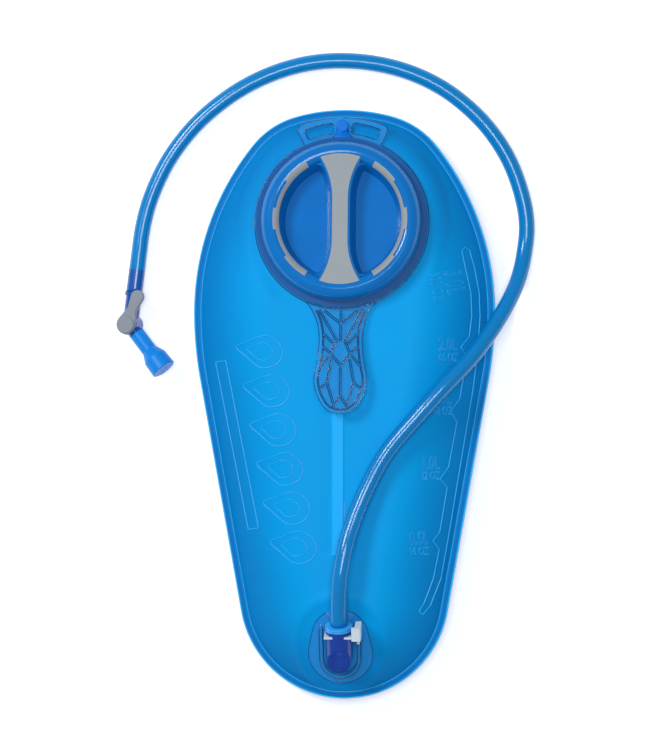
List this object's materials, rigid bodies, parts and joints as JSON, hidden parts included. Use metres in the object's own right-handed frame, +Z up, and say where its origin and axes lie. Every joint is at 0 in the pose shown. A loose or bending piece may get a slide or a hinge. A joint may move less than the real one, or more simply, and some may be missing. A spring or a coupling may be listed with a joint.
{
  "type": "hydration bladder",
  "caption": "Flat drinking-water bag with a screw lid, a carrying handle, a quick-release outlet and a drink tube with shut-off and bite valve.",
  "frame": {"origin": "on the floor under the middle of the bag, which lies on its back", "axes": "+Z up, +Y from the outlet towards the fill mouth, +X to the right of the bag seen from above"},
  "size_m": [0.2856, 0.4401, 0.0684],
  "materials": {
    "film": "blue TPU film, satin with a fine matte texture",
    "film_back": "blue TPU film, satin",
    "film_inner": "blue TPU film inside the bag",
    "neck": "blue moulded plastic",
    "clear": "clear moulded plastic, tinted by the film under it",
    "tether": "flexible blue plastic",
    "lid": "glossy translucent blue plastic",
    "grip": "grey soft-touch rubber",
    "seal": "pale silicone",
    "outlet": "dark blue moulded plastic",
    "button": "pale grey moulded plastic",
    "spring": "stainless spring wire",
    "inner_plastic": "white acetal",
    "plug": "light blue moulded plastic",
    "tube": "translucent blue hose",
    "valve_body": "blue moulded plastic",
    "lever": "grey moulded plastic",
    "bite": "soft blue silicone"
  },
  "bodies": {
    "reservoir": {"front_film": "film", "back_film": "film_back", "baffle": "film_inner", "fill_neck": "neck", "collar_handle": "clear", "tether_anchor": "tether", "tether_strap": "tether", "outlet_flange": "clear", "outlet_backing": "clear", "outlet_body": "outlet", "outlet_cap": "outlet", "button_spring": "spring", "poppet_spring": "spring"},
    "tether": {"tether_ring": "tether"},
    "lid": {"lid_shell": "lid", "lid_grip_pad": "grip", "lid_grip_arcs": "grip", "lid_gasket": "seal"},
    "release": {"release_button": "button"},
    "poppet": {"valve_poppet": "inner_plastic", "poppet_seal": "seal"},
    "hose": {"hose_plug": "plug", "plug_o_ring": "seal", "drink_tube": "tube", "shutoff_body": "valve_body"},
    "shutoff": {"shutoff_barrel": "inner_plastic", "barrel_o_rings": "seal", "shutoff_lever": "lever"},
    "bite": {"bite_valve": "bite"}
  },
  "joints": [
    {"name": "lid_lift", "type": "slide", "parent": "reservoir", "child": "tether", "axis": [0, 0.1219, 0.9925], "range_m": [0, 0.0161], "deforming": ["tether_strap"]},
    {"name": "lid_turn", "type": "hinge", "parent": "tether", "child": "lid", "pos_m": [0, 0.1227, 0.0401], "axis": [0, 0.1219, 0.9925], "range_deg": [0, 180]},
    {"name": "button_press", "type": "slide", "parent": "reservoir", "child": "release", "axis": [-1, 0, 0], "range_m": [0, 0.0015], "stiffness_N_per_m": 400, "springref_m": -0.001, "deforming": ["button_spring"]},
    {"name": "poppet_slide", "type": "slide", "parent": "reservoir", "child": "poppet", "axis": [0, 0.9397, 0.342], "range_m": [0, 0.0024], "deforming": ["poppet_spring"]},
    {"name": "hose_unplug", "type": "slide", "parent": "reservoir", "child": "hose", "axis": [0, 0.9397, 0.342], "range_m": [0, 0.02]},
    {"name": "shutoff_turn", "type": "hinge", "parent": "hose", "child": "shutoff", "pos_m": [-0.1478, 0.0545, 0.0079], "axis": [0.2569, -0.0315, -0.9659], "range_deg": [0, 90]},
    {"name": "bite_pull", "type": "slide", "parent": "hose", "child": "bite", "axis": [0.605, -0.7742, 0.1862], "range_m": [0, 0.015]}
  ],
  "couplings": [
    {"joint": "lid_lift", "follows": "lid_turn", "m_per_rad": 0.005093},
    {"joint": "poppet_slide", "follows": "hose_unplug", "ratio": 0.12}
  ]
}
